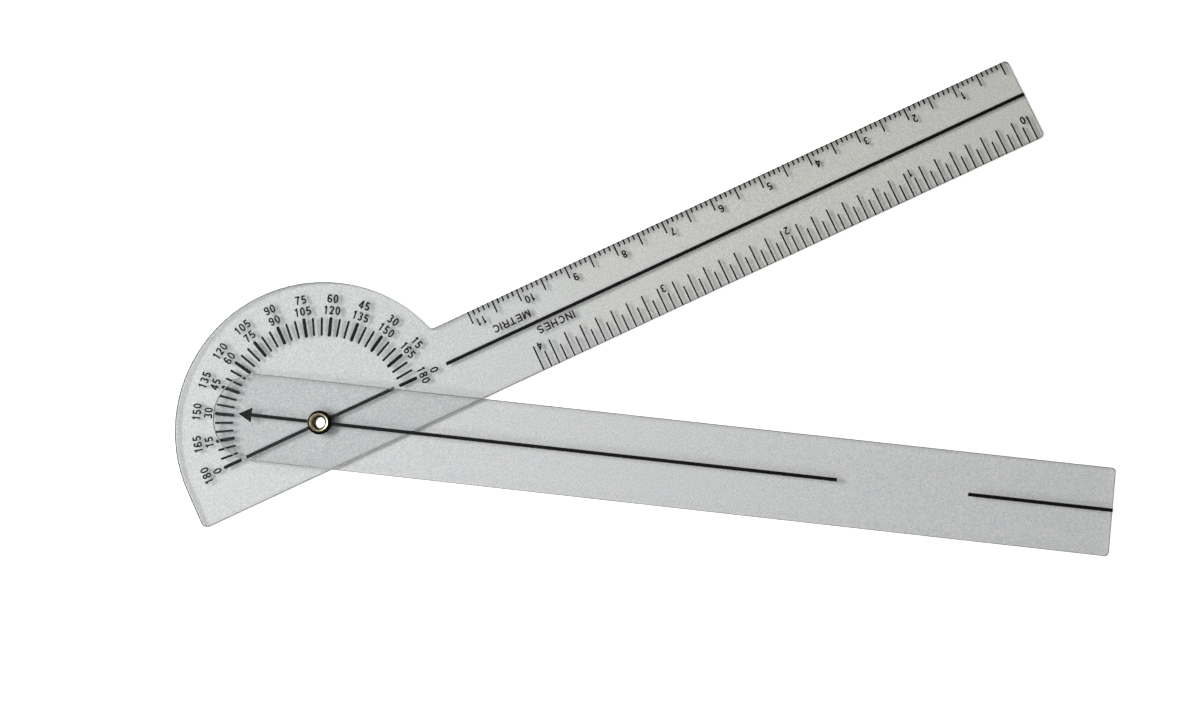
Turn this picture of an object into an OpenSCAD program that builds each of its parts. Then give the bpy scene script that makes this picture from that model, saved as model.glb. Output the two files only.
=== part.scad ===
// Pocket angle finder: a clear base plate with a half-round degree dial and a ruler arm,
// and a clear moving arm that turns on top of it round a hollow eyelet.
// Millimetres. The origin is on the pivot axis at the underside of the base plate.
// +X runs along the ruler arm, +Y towards its metric edge and +Z towards the moving arm.

/* [Plates] */
// Thickness of each clear plate
plate_t = 1; // [0.8:0.1:1.4]
// Gap between the two plates
plate_gap = 0.1; // [0.08:0.01:0.15]
// Radius of the corners at the far ends of the arms
corner_r = 0.8; // [0.5:0.1:1.6]

/* [Base plate] */
// Radius of the half-round head
head_r = 27.6; // [27:0.1:29]
// How far the head's centre lies left of the pivot
head_left = 0.4; // [0:0.1:1]
// How far the head's centre lies below the pivot
head_down = 1; // [0.5:0.1:1.5]
// Length of the ruler arm, from the pivot to its end
ruler_len = 145.1; // [145:0.1:155]
// Distance from the pivot line to the metric edge
metric_edge = 7.2; // [7:0.1:8]
// Distance from the pivot line to the inch edge
inch_edge = 8.8; // [8.4:0.1:9.5]
// Radius of the corner at the head's heel, across from the ruler arm
heel_r = 1.2; // [0.6:0.1:2]
// Radius of the fillet between the head and the ruler arm
neck_r = 0.6; // [0.3:0.1:1.5]

/* [Moving arm] */
// Length from the pivot to the far end
arm_len = 146.6; // [130:0.1:155]
// Length from the pivot to the tip of the round pointer end
pointer_len = 20.2; // [19:0.1:22]
// Distance from the hairline to the edge on its left, looking out from the pivot
arm_left = 7.75; // [7:0.05:8.5]
// Distance from the hairline to the edge on its right
arm_right = 8.45; // [8:0.05:9]
// Angle of the arm at rest, counted from the ruler arm
rest_angle = -31.35; // [-150:0.05:150]

/* [Eyelet] */
// Outer radius of the barrel
barrel_r = 1.35; // [1.25:0.05:1.5]
// Radius of the hole through the barrel
bore_r = 1.05; // [0.9:0.05:1.1]
// Radius of the top flange
flange_r = 2.25; // [2.1:0.05:2.6]
// Radius of the ring along the top of the flange
crest_r = 1.66; // [1.55:0.01:1.75]
// Height of the flange above the moving arm
flange_h = 0.5; // [0.4:0.05:0.7]
// Radius of the clinched flange under the base plate
clinch_r = 2.05; // [1.9:0.05:2.4]
// Depth of the clinched flange
clinch_h = 0.4; // [0.3:0.05:0.5]
// Clearance round the barrel in the base plate
base_fit = 0.02; // [0.01:0.01:0.03]
// Clearance round the barrel in the moving arm
arm_fit = 0.05; // [0.03:0.01:0.08]
// Play between the moving arm and the top flange
flange_play = 0.03; // [0.02:0.01:0.05]

/* [Printing] */
// Thickness of the printed ink
ink_t = 0.03; // [0.02:0.01:0.05]
// Width of the long printed lines
line_w = 0.66; // [0.4:0.02:0.7]
// Stroke width of the characters, as a share of their height
stroke_w = 0.185; // [0.1:0.005:0.2]

/* [Degree dial] */
// Radius of the inner ends of the short ticks
tick_in = 16.3; // [15:0.1:17]
// Radius of the outer ends of the short ticks
tick_out = 19.8; // [19:0.1:20]
// How far the long ticks reach past the short ones at each end
tick_extra = 0.12; // [0:0.02:0.3]
// Width of the short ticks
minor_w = 0.42; // [0.3:0.02:0.6]
// Width of the long ticks
major_w = 0.64; // [0.5:0.02:0.8]
// Radius of the middle of the outer row of numbers
outer_row_r = 23.4; // [23:0.1:24]
// Radius of the middle of the inner row of numbers
inner_row_r = 21.2; // [21:0.1:21.6]
// Height of the dial's numbers
dial_h = 1.6; // [1.2:0.05:1.8]
// Half the length of the line across the dial
diameter_len = 15.2; // [14:0.1:15.6]

/* [Ruler scales] */
// Where the line along the ruler arm starts
ruler_line_start = 25.9; // [25.5:0.1:27]
// Distance from the arm's end to the zero of the metric scale
metric_zero = 1.5; // [1.4:0.1:3]
// Length of the metric scale, in whole centimetres
metric_cm = 11; // [1:1:11]
// Length of the millimetre ticks
mm_tick = 1.05; // [0.8:0.05:1.5]
// Length of the ticks at each half and whole centimetre
cm_tick = 2.5; // [2:0.1:3]
// Distance from the arm's end to the zero of the inch scale
inch_zero = 1.5; // [1.4:0.1:3]
// Length of the inch scale, in whole inches
inch_count = 4; // [1:1:4]
// Length of the ticks at each eighth of an inch
eighth_tick = 4.85; // [4.4:0.05:5.2]
// Length of the ticks at each sixteenth of an inch
sixteenth_tick = 3.2; // [2.8:0.1:3.6]
// Width of the ruler ticks
scale_w = 0.29; // [0.15:0.01:0.35]
// Height of the ruler's numbers
number_h = 1.5; // [1.2:0.05:1.7]
// Height of the unit words
word_h = 1.47; // [1.2:0.01:1.7]

/* [Moving arm printing] */
// Distance from the pivot to the arrow's tip
arrow_tip = 15.3; // [14.5:0.1:16]
// Length of the arrowhead
arrow_len = 2.5; // [2:0.1:3]
// Width of the arrowhead
arrow_w = 2.76; // [2:0.02:3.4]
// Where the first stretch of the hairline ends
hairline_stop = 96.3; // [90:0.1:110]
// Where the second stretch of the hairline starts
hairline_restart = 120.3; // [115:0.1:125]

/* [Hidden] */
$fn = 96;

clear_plastic = [0.80, 0.83, 0.83, 0.45];
black_ink = [0.04, 0.04, 0.045];
aged_brass = [0.45, 0.40, 0.24];

head = [-head_left, -head_down];
arm_z = plate_t + plate_gap;
arm_top = arm_z + plate_t;
arm_w = arm_left + arm_right;
arm_mid = (arm_left - arm_right) / 2;
base_hole_r = barrel_r + base_fit;
arm_hole_r = barrel_r + arm_fit;
flange_z = arm_top + flange_play;

// Thickness of the eyelet's metal at the two flange edges
flange_edge = 0.07;
clinch_edge = 0.05;

// Bare plate left between the printed lines and the eyelet
flange_margin = 0.05;
hole_margin = 0.3;
hairline_start = flange_r + flange_margin;
diameter_start = base_hole_r + hole_margin;
arrow_base = arrow_len - arrow_tip;

// How far a cutting shape reaches past the edge it cuts
cut_reach = 1;

tick_step = 5;
number_step = 15;
dial_end = 180;
inch = 25.4;
metric_x = ruler_len - metric_zero;
inch_x = ruler_len - inch_zero;

// How far a number's middle lies from its tick, along the arm and in from the edge
number_shift = 1.15;
two_digit_shift = 1.7;
zero_shift = -1;
metric_number_depth = 2.65;
inch_number_depth = 4.4;

// Middles of the two unit words
metric_label_at = [40.3, 2.05];
inch_label_at = [47.8, -1.6];

// Middle lines of the strokes that most letters share, in units of the height
head_y = 1 - stroke_w / 2;
waist_y = 0.52;
foot_y = stroke_w / 2;
post_x = stroke_w / 2;

// Points along an elliptical arc
function arc(cx, cy, rx, ry, from, to, steps = 10) = [
    for (i = [0 : steps])
        let (a = from + (to - from) * i / steps)
        [cx + rx * cos(a), cy + ry * sin(a)]
];

function unit(v) = v / norm(v);
function normal(a, b) = let (d = unit(b - a)) [-d.y, d.x];

// One side of a stroke of width w along the points p, mitred at the bends
function side(p, w) = [
    for (i = [0 : len(p) - 1])
        let (
            before = normal(p[max(i - 1, 0)], p[max(i, 1)]),
            after = normal(p[min(i, len(p) - 2)], p[min(i + 1, len(p) - 1)]),
            across = unit(before + after)
        )
        p[i] + across * w / (across * before)
];

function backwards(p) = [for (i = [len(p) - 1 : -1 : 0]) p[i]];

module stroke(p, w) {
    polygon(concat(side(p, w / 2), backwards(side(p, -w / 2))));
}

module ring(cx, cy, rx, ry, w, steps = 18) {
    last = 360 - 360 / steps;
    outer = arc(cx, cy, rx + w / 2, ry + w / 2, 0, last, steps - 1);
    inner = arc(cx, cy, rx - w / 2, ry - w / 2, 0, last, steps - 1);
    polygon(concat(outer, inner), [[for (i = [0 : steps - 1]) i], [for (i = [0 : steps - 1]) steps + i]]);
}

// Upright and level strokes, in units of the character's height, with the baseline at 0
function post(x) = [[x, 0], [x, 1]];
function beam(from, to, y) = [[from, y], [to, y]];

// Open strokes of each character
function strokes(c) =
    c == "1" ? [post(0.345), [[0.12, 0.76], [0.25, 0.8], [0.345, 0.92]]] :
    c == "2" ? [
        concat(arc(0.28, 0.7, 0.205, 0.225, 165, -30), [[0.11, foot_y]]),
        beam(0.03, 0.51, foot_y)
    ] :
    c == "3" ? [arc(0.27, 0.735, 0.185, 0.19, 150, -90), arc(0.27, 0.285, 0.21, 0.21, 90, -150)] :
    c == "4" ? [post(0.4), beam(0, 0.58, 0.27), [[0.38, 0.93], [0.07, 0.3]]] :
    c == "5" ? [
        beam(0.115, 0.49, head_y),
        [[0.15, 0.99], [0.1, 0.46]],
        arc(0.275, 0.31, 0.205, 0.235, 130, -150)
    ] :
    c == "6" ? [arc(0.28, 0.5, 0.205, 0.425, 185, 35)] :
    c == "7" ? [beam(0.03, 0.54, head_y), [[0.455, 0.92], [0.33, 0.62], [0.24, 0.32], [0.21, 0]]] :
    c == "9" ? [arc(0.28, 0.5, 0.205, 0.425, 5, -145)] :
    c == "C" ? [arc(0.42, 0.5, 0.345, 0.425, 38, 322, 16)] :
    c == "E" ? [post(post_x), beam(0.03, 0.7, head_y), beam(0.03, 0.64, waist_y), beam(0.03, 0.7, foot_y)] :
    c == "H" ? [post(post_x), post(0.705), beam(0.03, 0.75, waist_y)] :
    c == "I" ? [post(post_x)] :
    c == "M" ? [post(post_x), post(0.885), [[0.1, 0.95], [0.47, 0.05]], [[0.86, 0.95], [0.49, 0.05]]] :
    c == "N" ? [post(post_x), post(0.705), [[0.1, 0.94], [0.68, 0.06]]] :
    c == "R" ? [
        post(post_x),
        concat([[0.03, head_y]], arc(0.48, 0.72, 0.22, 0.205, 90, -90, 8), [[0.03, 0.515]]),
        [[0.46, 0.51], [0.58, 0.45], [0.65, 0.3], [0.7, 0]]
    ] :
    c == "S" ? [concat(arc(0.38, 0.72, 0.27, 0.205, 20, 255), arc(0.38, 0.285, 0.3, 0.21, 75, -165))] :
    c == "T" ? [post(0.4), beam(0, 0.8, head_y)] :
    [];

// Closed rings of each character: centre and two radii
function rings(c) =
    c == "0" ? [[0.28, 0.5, 0.205, 0.425]] :
    c == "6" ? [[0.28, 0.3, 0.205, 0.225]] :
    c == "8" ? [[0.28, 0.735, 0.18, 0.19], [0.28, 0.285, 0.205, 0.21]] :
    c == "9" ? [[0.28, 0.7, 0.205, 0.225]] :
    [];

// Drawn width of a character
function drawn(c) =
    c == "M" ? 0.96 :
    c == "C" ? 0.82 :
    c == "T" ? 0.8 :
    c == "H" || c == "N" || c == "R" ? 0.78 :
    c == "E" || c == "S" ? 0.72 :
    c == "I" ? 0.15 :
    0.56;

// Space between a character and the next
function gap(c) =
    c == "T" ? 0.05 :
    len(search(c, "CEHIMNRS")) > 0 ? 0.22 :
    0.16;

function cell_start(s, i) = i == 0 ? 0 : cell_start(s, i - 1) + drawn(s[i - 1]) + gap(s[i - 1]);

module character(c) {
    for (p = strokes(c)) stroke(p, stroke_w);
    for (r = rings(c)) ring(r[0], r[1], r[2], r[3], stroke_w);
}

// A word or number of height h, centred on the origin
module lettering(s, h) {
    total = cell_start(s, len(s));
    scale(h)
        for (i = [0 : len(s) - 1])
            translate([cell_start(s, i) + (gap(s[i]) - total) / 2, -0.5])
                character(s[i]);
}

// A bar of length l and width w with round ends, starting at the origin along +X
module round_bar(l, w) {
    polygon(concat(
        arc(l - w / 2, 0, w / 2, w / 2, -90, 90, 6),
        arc(w / 2, 0, w / 2, w / 2, 90, 270, 6)
    ));
}

// What is cut off a square corner at p to round it to radius r; q points out of the corner
module corner_waste(p, q, r) {
    difference() {
        translate(p + q * (cut_reach - r) / 2)
            square(r + cut_reach, center = true);
        translate(p - q * r)
            circle(r);
    }
}

// What fills the sharp nook between the head and the ruler arm
module neck_fill() {
    reach = head_r + neck_r;
    rise = metric_edge + neck_r - head.y;
    middle = [head.x + sqrt(reach * reach - rise * rise), metric_edge + neck_r];
    on_head = head + (middle - head) * head_r / reach;
    on_edge = [middle.x, metric_edge];
    difference() {
        polygon([middle, on_head, on_edge - [neck_r, neck_r], on_edge]);
        translate(middle) circle(neck_r);
    }
}

module base_outline() {
    left = head.x - head_r;
    difference() {
        union() {
            translate(head) circle(head_r, $fn = 180);
            translate([left, -inch_edge]) square([head_r, inch_edge + head.y]);
            translate([0, -inch_edge]) square([ruler_len, inch_edge + metric_edge]);
            neck_fill();
        }
        translate([left - cut_reach, -inch_edge - head_r])
            square([ruler_len + head_r, head_r]);
        corner_waste([left, -inch_edge], [-1, -1], heel_r);
        corner_waste([ruler_len, -inch_edge], [1, -1], corner_r);
        corner_waste([ruler_len, metric_edge], [1, 1], corner_r);
        circle(base_hole_r);
    }
}

module arm_outline() {
    straight_start = arm_w / 2 - pointer_len;
    difference() {
        union() {
            translate([straight_start, -arm_right]) square([arm_len - straight_start, arm_w]);
            translate([straight_start, arm_mid]) circle(arm_w / 2);
        }
        corner_waste([arm_len, -arm_right], [1, -1], corner_r);
        corner_waste([arm_len, arm_left], [1, 1], corner_r);
        circle(arm_hole_r);
    }
}

// Lays flat shapes on top of the base plate as a film of ink
module on_base() {
    translate([0, 0, plate_t]) linear_extrude(ink_t) children();
}

// Lays flat shapes on top of the moving arm as a film of ink
module on_arm() {
    rotate([0, 0, rest_angle]) translate([0, 0, arm_top]) linear_extrude(ink_t) children();
}

module protractor_plate() {
    color(clear_plastic) linear_extrude(plate_t) base_outline();
}

module moving_arm() {
    color(clear_plastic)
        rotate([0, 0, rest_angle])
            translate([0, 0, arm_z])
                linear_extrude(plate_t)
                    arm_outline();
}

// Half section of the eyelet: a barrel with a domed flange on top and a rolled one below
module eyelet_section() {
    crest_z = flange_z + flange_h;
    clinch_crest = (bore_r + clinch_r) / 2;
    polygon(concat(
        arc(crest_r, flange_z, crest_r - bore_r, flange_h, 180, 90, 8),
        arc(crest_r, flange_z + flange_edge, flange_r - crest_r, flange_h - flange_edge, 84, 0, 7),
        [[flange_r - flange_edge, flange_z], [barrel_r, flange_z]],
        [[barrel_r, 0], [clinch_r - clinch_edge, 0]],
        arc(clinch_crest, -clinch_edge, clinch_r - clinch_crest, clinch_h - clinch_edge, 0, -90, 6),
        arc(clinch_crest, 0, clinch_crest - bore_r, clinch_h, -96, -180, 7)
    ));
}

module pivot_eyelet() {
    color(aged_brass) rotate_extrude() eyelet_section();
}

module degree_ticks(long) {
    extra = long ? tick_extra : 0;
    for (a = [0 : tick_step : dial_end])
        if ((a % number_step == 0) == long)
            rotate(a) translate([tick_in - extra, 0])
                round_bar(tick_out - tick_in + 2 * extra, long ? major_w : minor_w);
}

module degree_ticks_major() {
    color(black_ink) on_base() degree_ticks(true);
}

module degree_ticks_minor() {
    color(black_ink) on_base() degree_ticks(false);
}

// Numbers on a half circle of radius r, with their tops outward, either rising or falling from +X
module degree_numbers(r, rising) {
    for (a = [0 : number_step : dial_end])
        rotate(a - 90) translate([0, r])
            lettering(str(rising ? a : dial_end - a), dial_h);
}

module degree_numbers_outer() {
    color(black_ink) on_base() degree_numbers(outer_row_r, true);
}

module degree_numbers_inner() {
    color(black_ink) on_base() degree_numbers(inner_row_r, false);
}

module diameter_line() {
    color(black_ink) on_base()
        for (s = [-1, 1])
            translate([s * (diameter_start + diameter_len) / 2, 0])
                square([diameter_len - diameter_start, line_w], center = true);
}

module ruler_line() {
    color(black_ink) on_base()
        translate([ruler_line_start, -line_w / 2])
            square([ruler_len - ruler_line_start, line_w]);
}

module metric_ticks() {
    color(black_ink) on_base()
        for (i = [0 : metric_cm * 10])
            let (l = i % 5 == 0 ? cm_tick : mm_tick)
            translate([metric_x - i - scale_w / 2, metric_edge - l])
                square([scale_w, l]);
}

module metric_numbers() {
    color(black_ink) on_base()
        for (i = [1 : metric_cm])
            let (shift = i < 10 ? number_shift : two_digit_shift)
            translate([metric_x - 10 * i + shift, metric_edge - metric_number_depth])
                rotate(180) lettering(str(i), number_h);
}

module metric_label() {
    color(black_ink) on_base() translate(metric_label_at) rotate(180) lettering("METRIC", word_h);
}

module inch_ticks() {
    color(black_ink) on_base()
        for (i = [0 : inch_count * 16])
            let (l = i % 2 == 0 ? eighth_tick : sixteenth_tick)
            translate([inch_x - i * inch / 16 - scale_w / 2, -inch_edge])
                square([scale_w, l]);
}

module inch_numbers() {
    color(black_ink) on_base()
        for (i = [0 : inch_count])
            let (shift = i == 0 ? zero_shift : number_shift)
            translate([inch_x - i * inch + shift, inch_number_depth - inch_edge])
                rotate(180) lettering(str(i), number_h);
}

module inch_label() {
    color(black_ink) on_base() translate(inch_label_at) rotate(180) lettering("INCHES", word_h);
}

module arm_hairline() {
    spans = [
        [arrow_base, -hairline_start],
        [hairline_start, hairline_stop],
        [hairline_restart, arm_len]
    ];
    color(black_ink) on_arm()
        for (span = spans)
            translate([span[0], -line_w / 2])
                square([span[1] - span[0], line_w]);
}

module arm_arrowhead() {
    color(black_ink) on_arm()
        polygon([[-arrow_tip, 0], [arrow_base, -arrow_w / 2], [arrow_base, arrow_w / 2]]);
}

protractor_plate();
moving_arm();
pivot_eyelet();
degree_ticks_major();
degree_ticks_minor();
degree_numbers_outer();
degree_numbers_inner();
diameter_line();
ruler_line();
metric_ticks();
metric_numbers();
metric_label();
inch_ticks();
inch_numbers();
inch_label();
arm_hairline();
arm_arrowhead();
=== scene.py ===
import math

import bpy
from mathutils import Matrix, Vector


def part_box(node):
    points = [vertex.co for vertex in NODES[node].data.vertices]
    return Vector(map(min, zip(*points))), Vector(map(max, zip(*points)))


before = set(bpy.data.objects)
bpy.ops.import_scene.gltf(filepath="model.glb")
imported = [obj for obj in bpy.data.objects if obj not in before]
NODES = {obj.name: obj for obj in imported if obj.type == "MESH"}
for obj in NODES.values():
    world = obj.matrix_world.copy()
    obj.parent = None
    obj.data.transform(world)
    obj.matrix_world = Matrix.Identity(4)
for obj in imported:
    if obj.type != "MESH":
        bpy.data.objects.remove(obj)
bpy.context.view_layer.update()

MM = 0.001
PLATES = ("protractor_plate", "moving_arm")
WHITE = (1.0, 1.0, 1.0, 1.0)

# Camera, in the part's frame: where it stands, and where its picture's right and its view point
SENSOR_W = 36.0
LENS = 52.43
NEAR_CLIP = 0.01
CAMERA_AT = Vector((49.74, -39.21, 319.9)) * MM
VIEW_RIGHT = Vector((0.9058, -0.4221, -0.0352))
VIEW_AHEAD = Vector((0.0031, 0.0896, -0.996))

# Key lamp: the way its light travels over the floor, its height in degrees, its distance, size and watts
LIGHT_TRAVEL = Vector((0.80, -0.60, 0.0))
KEY_ELEVATION = 57.5
KEY_DISTANCE = 0.55
KEY_SIZE = 0.22
KEY_POWER = 1.75

# Fill lamp: a wide disk overhead, nearer the head than the arms' far ends
FILL_AT = Vector((-0.2, -0.02, 0.48))
FILL_SIZE = 0.5
FILL_POWER = 2.45

# Light of the room, and how bright its walls look in gloss and through the plates
SKY_LIGHT = 0.1
SKY_GLOSS = 0.17

# Floor: a white sheet that the eyelet's foot and the ruler arm's far end rest on, just clear of both
FLOOR_GAP = 0.02 * MM
FLOOR_SIDE = 3.0
PAPER = ((0.69, 0.70, 0.73), (0.97, 0.96, 0.93))
PAPER_GRAIN = 3600.0
FLOOR_WHITENING = 0.6
# The floor turns all white from here to there, in metres from the pivot
FAR_FLOOR = (0.15, 0.55)
# The floor is painted all white, as light, under this share of the eyelet's radius, where the barrel shades
# it, so that its hole shows white
PAINTED_LIGHT_HOLE_SHARE = 0.7
# Painted shade under the object: how far the floor looks for what covers it, and the open shares between
# which its glow fades in, so that the floor seen in gloss and through the plates is darker under them
COVER_REACH = 0.05
COVER_SAMPLES = 16
UNSHADED_SHARES = (0.85, 0.95)

# Grain: how fast finer grain fades, and the values of the noise that take the two tones
GRAIN_ROUGHNESS = 0.6
LOW_TONE = 0.3
HIGH_TONE = 0.7

# Clear plastic: two tones for each plate, and the ripple of its faces
PLASTIC_IOR = 1.49
BASE_TINT = ((0.865, 0.88, 0.895), (1.0, 0.998, 0.97))
ARM_TINT = ((0.86, 0.875, 0.895), (0.99, 0.985, 0.985))
MOTTLE_GRAIN = 3200.0
RIPPLE_GRAIN = 900.0
RIPPLE_DEPTH = 0.02 * MM
RIPPLE_STRENGTH = 0.05
# The base plate's colour cast near the pivot and far from it, and the radii between which it changes
NEAR_CAST = (0.985, 1.0, 1.0)
FAR_CAST = (1.0, 0.985, 0.94)
CAST_REACH = (0.01, 0.11)

# Cut edges of the plates: their rounding, and the two tones of their dull shine
EDGE_ROUND = 0.15 * MM
EDGE_STEPS = 3
EDGE_SLOT = 1
EDGE_TONES = ((0.46, 0.48, 0.46), (0.6, 0.62, 0.6))
EDGE_ROUGHNESS = 0.45
EDGE_GRAIN = 1800.0
WELD_GAP = 0.001 * MM
FLAT_ANGLE = 0.01
SHARP_DEGREES = 60

# Shares of the lamps' light that come through: a plate's faces, its upright edges and the ink
FACE_PASSES = (0.965, 0.97, 0.97)
EDGE_PASSES = (0.2, 0.2, 0.2)
INK_PASSES = (0.5, 0.5, 0.5)
# A face is upright when its normal rises less than this, and its upper part is above this share of the plate
UPRIGHT_RISE = 0.5
UPPER_SHARE = 0.8

# Print: two tones and a range of roughness
INK_TONES = ((0.001, 0.001, 0.0015), (0.006, 0.006, 0.007))
INK_GRAIN = 2500.0
INK_SPECULAR = 0.15
INK_ROUGHNESS = (0.35, 0.55)
INK_GLOSS_GRAIN = 1200.0

# Eyelet: the metal's tones by radius, as shares of the way from its hole to its rim. The dark tone paints
# shade in the hole and down the outer slope, and the bright tone paints a highlight on the crest, all round
# the ring
METAL_PAINTED_SHADE = (0.03, 0.024, 0.014)
METAL_BRONZE = (0.2, 0.165, 0.08)
METAL_PAINTED_HIGHLIGHT = (0.76, 0.74, 0.52)
METAL_SHADE_AND_HIGHLIGHT_BANDS = (
    (0.0, METAL_PAINTED_SHADE),
    (0.18, METAL_BRONZE),
    (0.26, METAL_PAINTED_HIGHLIGHT),
    (0.42, METAL_PAINTED_HIGHLIGHT),
    (0.52, METAL_BRONZE),
    (0.6, METAL_PAINTED_SHADE),
)
HOLE_RADIUS = 1.0 * MM
RIM_RADIUS = 2.3 * MM
BAND_WANDER = 0.12 * MM
BAND_GRAIN = 1300.0
METAL_ROUGHNESS = (0.18, 0.34)
METAL_GLOSS_GRAIN = 2400.0


def new_material(name):
    """An empty node material: returns it with its tree and its output node."""
    material = bpy.data.materials.new(name)
    material.use_nodes = True
    tree = material.node_tree
    tree.nodes.clear()
    return material, tree, tree.nodes.new("ShaderNodeOutputMaterial")


def add(tree, kind, **values):
    """A new node. A value named like a socket, with _ for a space, is the socket's, or else the node's."""
    node = tree.nodes.new(kind)
    for name, value in values.items():
        label = name.replace("_", " ")
        if label in node.inputs:
            node.inputs[label].default_value = value
        else:
            setattr(node, name, value)
    return node


def join(tree, source, target):
    tree.links.new(source, target)


def compute(tree, operation, *terms):
    """A Math node of the given terms, each a number or another node's output. Returns its output."""
    node = tree.nodes.new("ShaderNodeMath")
    node.operation = operation
    for slot, term in zip(node.inputs, terms):
        if isinstance(term, (int, float)):
            slot.default_value = term
        else:
            tree.links.new(term, slot)
    return node.outputs[0]


def ramp(tree, source, low, high):
    """0 where the source is under low, 1 where it is over high, and smooth between."""
    node = add(tree, "ShaderNodeMapRange", interpolation_type="SMOOTHSTEP", From_Min=low, From_Max=high)
    join(tree, source, node.inputs["Value"])
    return node.outputs["Result"]


def colours(tree, source, *stops):
    """A colour ramp from the source, of (place, colour) stops. Returns its colour."""
    node = tree.nodes.new("ShaderNodeValToRGB")
    points = node.color_ramp.elements
    while len(points) < len(stops):
        points.new(0.5)
    for point, (place, colour) in zip(points, stops):
        point.position = place
        point.color = (*colour, 1.0)
    join(tree, source, node.inputs[0])
    return node.outputs["Color"]


def noise(tree, scale, detail):
    """Grain of the given scale, in the object's own metres. Returns its value."""
    spot = tree.nodes.new("ShaderNodeTexCoord")
    node = add(tree, "ShaderNodeTexNoise", Scale=scale, Detail=detail, Roughness=GRAIN_ROUGHNESS)
    join(tree, spot.outputs["Object"], node.inputs["Vector"])
    return node.outputs["Fac"]


def mottled(tree, scale, detail, tones):
    """A colour that wanders between two tones."""
    return colours(tree, noise(tree, scale, detail), (LOW_TONE, tones[0]), (HIGH_TONE, tones[1]))


def wandering(tree, scale, detail, low, high):
    """A number that wanders between two others."""
    node = add(tree, "ShaderNodeMapRange", To_Min=low, To_Max=high)
    join(tree, noise(tree, scale, detail), node.inputs["Value"])
    return node.outputs["Result"]


def from_axis(tree):
    """Distance from the pivot axis, in metres."""
    spot = tree.nodes.new("ShaderNodeTexCoord")
    flat = add(tree, "ShaderNodeVectorMath", operation="MULTIPLY")
    flat.inputs[1].default_value = (1.0, 1.0, 0.0)
    join(tree, spot.outputs["Object"], flat.inputs[0])
    length = add(tree, "ShaderNodeVectorMath", operation="LENGTH")
    join(tree, flat.outputs[0], length.inputs[0])
    return length.outputs["Value"]


def cast_by_reach(tree, colour):
    """The colour, a little cooler near the pivot and yellower far from it."""
    cast = colours(tree, ramp(tree, from_axis(tree), *CAST_REACH), (0.0, NEAR_CAST), (1.0, FAR_CAST))
    both = add(tree, "ShaderNodeVectorMath", operation="MULTIPLY")
    join(tree, colour, both.inputs[0])
    join(tree, cast, both.inputs[1])
    return both.outputs[0]


def stopped_light(tree):
    """1 where a plate's upright edge stops the light: a far edge, and the upper part of a near one."""
    shape = tree.nodes.new("ShaderNodeNewGeometry")
    normal = tree.nodes.new("ShaderNodeSeparateXYZ")
    join(tree, shape.outputs["True Normal"], normal.inputs[0])
    rise = compute(tree, "ABSOLUTE", normal.outputs["Z"])
    upright = compute(tree, "LESS_THAN", rise, UPRIGHT_RISE)
    spot = tree.nodes.new("ShaderNodeTexCoord")
    height = tree.nodes.new("ShaderNodeSeparateXYZ")
    join(tree, spot.outputs["Generated"], height.inputs[0])
    upper = compute(tree, "GREATER_THAN", height.outputs["Z"], UPPER_SHARE)
    far = compute(tree, "SUBTRACT", 1.0, shape.outputs["Backfacing"])
    return compute(tree, "MULTIPLY", upright, compute(tree, "MAXIMUM", upper, far))


def veil(tree, passes):
    """A see-through shader that lets the given share of each colour pass."""
    return add(tree, "ShaderNodeBsdfTransparent", Color=(*passes, 1.0))


def pass_shadow_rays(tree, surface, clear, out):
    """Shows the surface to the eye and the clear shader to the lamps' shadow rays."""
    path = tree.nodes.new("ShaderNodeLightPath")
    mix = tree.nodes.new("ShaderNodeMixShader")
    join(tree, path.outputs["Is Shadow Ray"], mix.inputs[0])
    join(tree, surface.outputs[0], mix.inputs[1])
    join(tree, clear.outputs[0], mix.inputs[2])
    join(tree, mix.outputs[0], out.inputs["Surface"])


def clear_sheet(name, tones, yellower_far):
    """Clear stamped sheet, faintly mottled and rippled, whose edges let little light through."""
    material, tree, out = new_material(name)
    sheet = add(tree, "ShaderNodeBsdfPrincipled", Roughness=0.0, IOR=PLASTIC_IOR, Transmission_Weight=1.0)
    tint = mottled(tree, MOTTLE_GRAIN, 2.0, tones)
    if yellower_far:
        tint = cast_by_reach(tree, tint)
    join(tree, tint, sheet.inputs["Base Color"])
    bump = add(tree, "ShaderNodeBump", Strength=RIPPLE_STRENGTH, Distance=RIPPLE_DEPTH)
    join(tree, noise(tree, RIPPLE_GRAIN, 3.0), bump.inputs["Height"])
    join(tree, bump.outputs["Normal"], sheet.inputs["Normal"])

    clear = tree.nodes.new("ShaderNodeBsdfTransparent")
    passing = colours(tree, stopped_light(tree), (0.0, FACE_PASSES), (1.0, EDGE_PASSES))
    join(tree, passing, clear.inputs["Color"])
    pass_shadow_rays(tree, sheet, clear, out)
    return material


def base_plastic():
    return clear_sheet("clear_plastic", BASE_TINT, True)


def arm_plastic():
    return clear_sheet("clear_plastic_arm", ARM_TINT, False)


def cut_edge():
    """The stamped edge. Light turns round in it, so it shines towards the lamp and is dark elsewhere."""
    material, tree, out = new_material("cut_edge")
    glint = add(tree, "ShaderNodeBsdfPrincipled", Metallic=1.0, Roughness=EDGE_ROUGHNESS)
    join(tree, mottled(tree, EDGE_GRAIN, 3.0, EDGE_TONES), glint.inputs["Base Color"])
    pass_shadow_rays(tree, glint, veil(tree, EDGE_PASSES), out)
    return material


def printing_ink():
    """Black print with a slightly uneven gloss, thin enough for some of the lamps' light to come through."""
    material, tree, out = new_material("printing_ink")
    ink = add(tree, "ShaderNodeBsdfPrincipled", Specular_IOR_Level=INK_SPECULAR)
    join(tree, mottled(tree, INK_GRAIN, 2.0, INK_TONES), ink.inputs["Base Color"])
    join(tree, wandering(tree, INK_GLOSS_GRAIN, 2.0, *INK_ROUGHNESS), ink.inputs["Roughness"])
    pass_shadow_rays(tree, ink, veil(tree, INK_PASSES), out)
    return material


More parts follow.
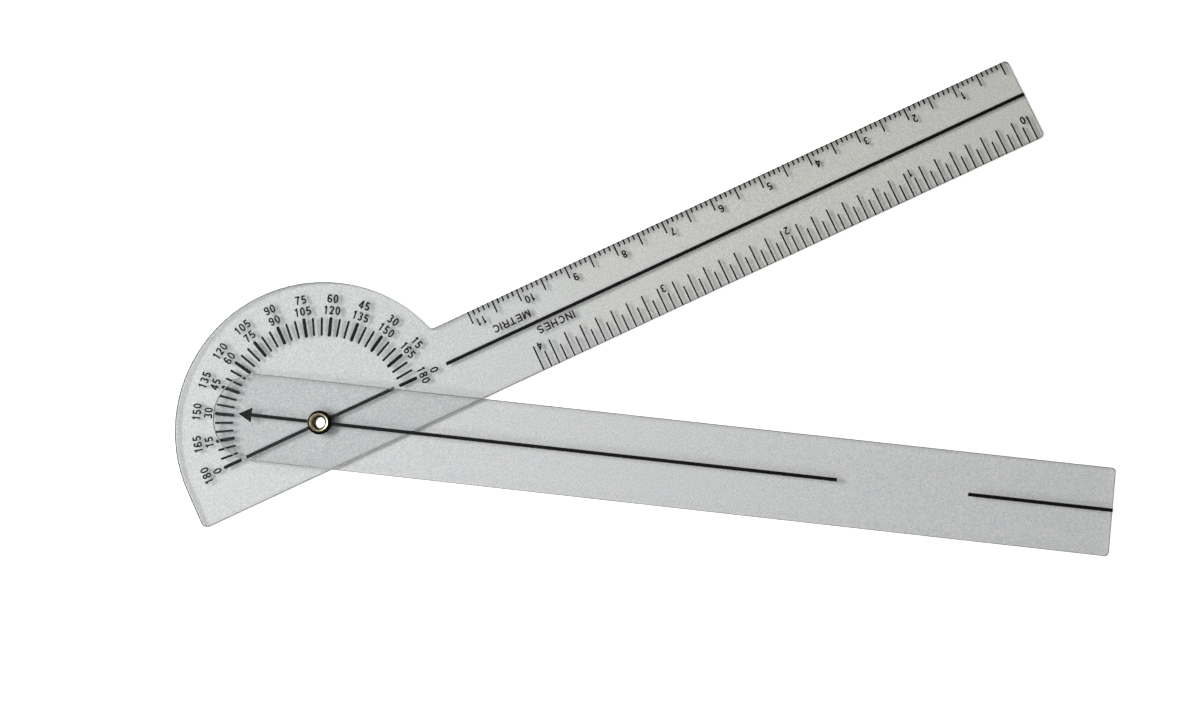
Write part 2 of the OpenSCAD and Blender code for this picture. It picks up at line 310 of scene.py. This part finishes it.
def eyelet_metal():
    """Aged brass, with a painted highlight on the crest, and painted shade down its outer slope and inside
    the hole.
    """
    material, tree, out = new_material("eyelet_metal")
    wander = wandering(tree, BAND_GRAIN, 4.0, -BAND_WANDER, BAND_WANDER)
    reach = compute(tree, "ADD", from_axis(tree), wander)
    share = add(tree, "ShaderNodeMapRange", From_Min=HOLE_RADIUS, From_Max=RIM_RADIUS)
    join(tree, reach, share.inputs["Value"])
    metal = add(tree, "ShaderNodeBsdfPrincipled", Metallic=1.0)
    # Painted shade in the hole and down the outer slope, and a painted highlight on the crest.
    join(tree, colours(tree, share.outputs[0], *METAL_SHADE_AND_HIGHLIGHT_BANDS), metal.inputs["Base Color"])
    join(tree, wandering(tree, METAL_GLOSS_GRAIN, 3.0, *METAL_ROUGHNESS), metal.inputs["Roughness"])
    join(tree, metal.outputs[0], out.inputs["Surface"])
    return material


def floor_glow(tree, hole_radius):
    """How much the floor's own white shows: to the eye everywhere, and in gloss and plates where open, which
    paints shade under the object; in the eyelet's hole it is painted all white.
    """
    path = tree.nodes.new("ShaderNodeLightPath")
    radius = from_axis(tree)
    # Painted light: all white in the eyelet's hole, though the barrel shades the floor there.
    painted_light_in_hole = compute(tree, "LESS_THAN", radius, hole_radius)
    all_white = compute(tree, "MAXIMUM", painted_light_in_hole, ramp(tree, radius, *FAR_FLOOR))
    seen = compute(tree, "MAXIMUM", all_white, FLOOR_WHITENING)
    direct = compute(tree, "MULTIPLY", path.outputs["Is Camera Ray"], seen)
    # Painted shade: the glow fades out where the object covers the floor, so it looks darker under the
    # plates.
    cover = add(tree, "ShaderNodeAmbientOcclusion", samples=COVER_SAMPLES, Distance=COVER_REACH)
    unshaded_floor = ramp(tree, cover.outputs["AO"], *UNSHADED_SHARES)
    seen_in = compute(tree, "MAXIMUM", path.outputs["Is Glossy Ray"], path.outputs["Is Transmission Ray"])
    bent = compute(tree, "MULTIPLY", compute(tree, "MULTIPLY", seen_in, unshaded_floor), FLOOR_WHITENING)
    return compute(tree, "MAXIMUM", direct, bent)


def floor_surface(hole_radius):
    """White paper. What is seen of it through a plate is as grey as the light there leaves it, with its glow
    taken away there as painted shade.
    """
    material, tree, out = new_material("floor")
    paper = tree.nodes.new("ShaderNodeBsdfDiffuse")
    join(tree, mottled(tree, PAPER_GRAIN, 2.0, PAPER), paper.inputs["Color"])
    glow = add(tree, "ShaderNodeEmission", Color=WHITE)
    join(tree, floor_glow(tree, hole_radius), glow.inputs["Strength"])
    both = tree.nodes.new("ShaderNodeAddShader")
    join(tree, paper.outputs[0], both.inputs[0])
    join(tree, glow.outputs[0], both.inputs[1])
    join(tree, both.outputs[0], out.inputs["Surface"])
    return material


def make_camera():
    """A camera that stands and looks as the photograph's did."""
    data = bpy.data.cameras.new("camera")
    data.sensor_fit = "HORIZONTAL"
    data.sensor_width = SENSOR_W
    data.lens = LENS
    data.clip_start = NEAR_CLIP
    camera = bpy.data.objects.new("camera", data)
    right = VIEW_RIGHT.normalized()
    ahead = (VIEW_AHEAD - right * VIEW_AHEAD.dot(right)).normalized()
    up = right.cross(ahead)
    turn = Matrix((right, up, -ahead)).transposed()
    camera.matrix_world = Matrix.Translation(CAMERA_AT) @ turn.to_4x4()
    bpy.context.scene.collection.objects.link(camera)
    bpy.context.scene.camera = camera


def make_floor():
    """A floor that slopes as little as it takes for the eyelet's foot and the ruler's end to rest on it."""
    eyelet_low, eyelet_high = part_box("pivot_eyelet")
    plate_low, plate_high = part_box("protractor_plate")
    foot = eyelet_low.z
    slope = (plate_low.z - foot) / plate_high.x
    half = FLOOR_SIDE / 2
    spots = ((-half, -half), (half, -half), (half, half), (-half, half))
    corners = [(x, y, foot - FLOOR_GAP + slope * x) for x, y in spots]
    mesh = bpy.data.meshes.new("floor")
    mesh.from_pydata(corners, [], [(0, 1, 2, 3)])
    mesh.materials.append(floor_surface(eyelet_high.x * PAINTED_LIGHT_HOLE_SHARE))
    floor = bpy.data.objects.new("floor", mesh)
    bpy.context.scene.collection.objects.link(floor)


def make_lamp(name, place, aim, size, power):
    """A round lamp at a place, facing another, and not seen through the plates."""
    data = bpy.data.lights.new(name, "AREA")
    data.shape = "DISK"
    data.size = size
    data.energy = power
    lamp = bpy.data.objects.new(name, data)
    lamp.location = place
    lamp.rotation_mode = "QUATERNION"
    lamp.rotation_quaternion = (aim - place).to_track_quat("-Z", "Y")
    lamp.visible_transmission = False
    bpy.context.scene.collection.objects.link(lamp)
    return lamp


def make_lamps():
    """The key lamp, facing the pivot, and the fill lamp, facing straight down and not seen in gloss."""
    tilt = math.radians(KEY_ELEVATION)
    back = -LIGHT_TRAVEL.normalized() * math.cos(tilt) + Vector((0, 0, math.sin(tilt)))
    make_lamp("key", back * KEY_DISTANCE, Vector((0, 0, 0)), KEY_SIZE, KEY_POWER)
    fill = make_lamp("fill", FILL_AT, Vector((FILL_AT.x, FILL_AT.y, 0)), FILL_SIZE, FILL_POWER)
    fill.visible_glossy = False
    fill.visible_camera = False


def make_world():
    """A white room for what is seen of it, and a dim one for what it lights."""
    world = bpy.data.worlds.new("studio")
    bpy.context.scene.world = world
    world.use_nodes = True
    tree = world.node_tree
    tree.nodes.clear()
    path = tree.nodes.new("ShaderNodeLightPath")
    bent = compute(tree, "MAXIMUM", path.outputs["Is Glossy Ray"], path.outputs["Is Transmission Ray"])
    dim = compute(tree, "MAXIMUM", compute(tree, "MULTIPLY", bent, SKY_GLOSS), SKY_LIGHT)
    sky = add(tree, "ShaderNodeBackground", Color=WHITE)
    join(tree, compute(tree, "MAXIMUM", path.outputs["Is Camera Ray"], dim), sky.inputs["Strength"])
    out = tree.nodes.new("ShaderNodeOutputWorld")
    join(tree, sky.outputs[0], out.inputs["Surface"])


def set_view():
    """The plain view transform, and no caustics, whose light the shadow rays carry."""
    scene = bpy.context.scene
    scene.view_settings.view_transform = "Standard"
    scene.cycles.caustics_refractive = False
    scene.cycles.caustics_reflective = False


def dress(node, *materials):
    """Gives a CAD node its material, and after it any that a modifier uses."""
    slots = NODES[node].data.materials
    slots.clear()
    for material in materials:
        slots.append(material)


def round_edges(node):
    """Rounds the stamped edges of a plate over a hair's breadth, in its second material."""
    stack = NODES[node].modifiers
    weld = stack.new("weld", "WELD")
    weld.merge_threshold = WELD_GAP
    flat = stack.new("flat", "DECIMATE")
    flat.decimate_type = "DISSOLVE"
    flat.angle_limit = FLAT_ANGLE
    edge = stack.new("edge", "BEVEL")
    edge.width = EDGE_ROUND
    edge.segments = EDGE_STEPS
    edge.limit_method = "ANGLE"
    edge.angle_limit = math.radians(SHARP_DEGREES)
    edge.use_clamp_overlap = False
    edge.material = EDGE_SLOT


def dress_part():
    """Gives every CAD node its material: ink first on all, then the plates' and the eyelet's own."""
    ink = printing_ink()
    for name in NODES:
        dress(name, ink)
    edge = cut_edge()
    dress("protractor_plate", base_plastic(), edge)
    dress("moving_arm", arm_plastic(), edge)
    dress("pivot_eyelet", eyelet_metal())
    for name in PLATES:
        round_edges(name)


make_camera()
set_view()
make_floor()
make_lamps()
make_world()
dress_part()
